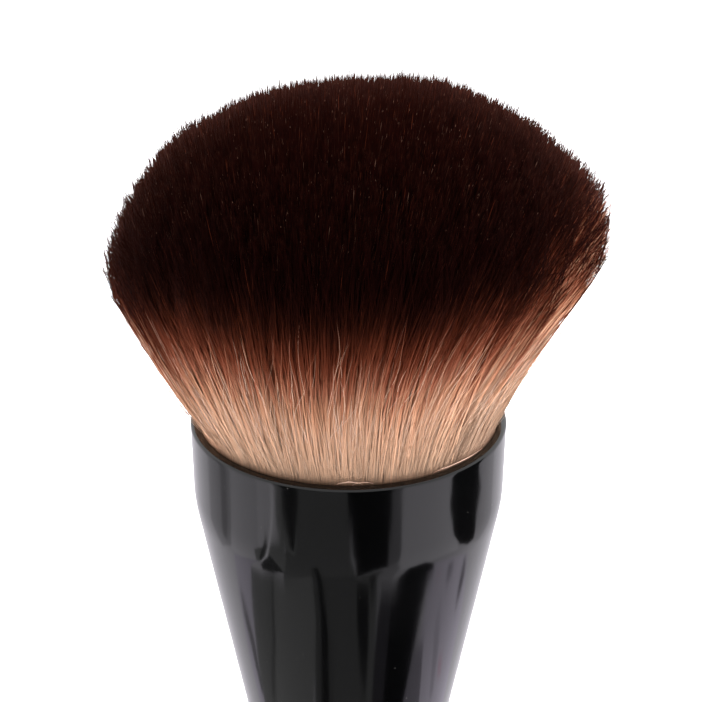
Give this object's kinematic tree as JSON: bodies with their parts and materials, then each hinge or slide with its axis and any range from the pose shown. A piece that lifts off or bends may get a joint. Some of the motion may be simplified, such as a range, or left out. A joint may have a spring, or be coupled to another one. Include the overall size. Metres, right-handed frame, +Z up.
{
  "type": "face brush",
  "caption": "Large face brush with a dense flared head of two-tone filaments and a low domed top, set in a gloss black collared cone ferrule on a slim waisted handle that stands on a flat butt",
  "frame": {"origin": "centre of the flat face at the end of the handle, on which the brush stands", "axes": "+Z runs up the brush's own axis from the handle's end to the tips; -Y is the side that faces the camera in the picture; +X is to the camera's right, where the head leans out a little further and its dome is a little higher"},
  "size_m": [0.0448, 0.0434, 0.1439],
  "materials": {
    "filament": "fine synthetic filament, very dark brown at the tips fading to pale peach at the roots",
    "black_lacquered_metal": "gloss",
    "potting_resin": "satin",
    "thread": "matte",
    "adhesive": "satin",
    "black_lacquered_wood": "gloss"
  },
  "bodies": {
    "root": {"hair_bundle": "filament", "ferrule": "black_lacquered_metal", "root_plug": "potting_resin", "binding_thread": "thread", "tenon_glue": "adhesive", "handle": "black_lacquered_wood"}
  },
  "joints": []
}
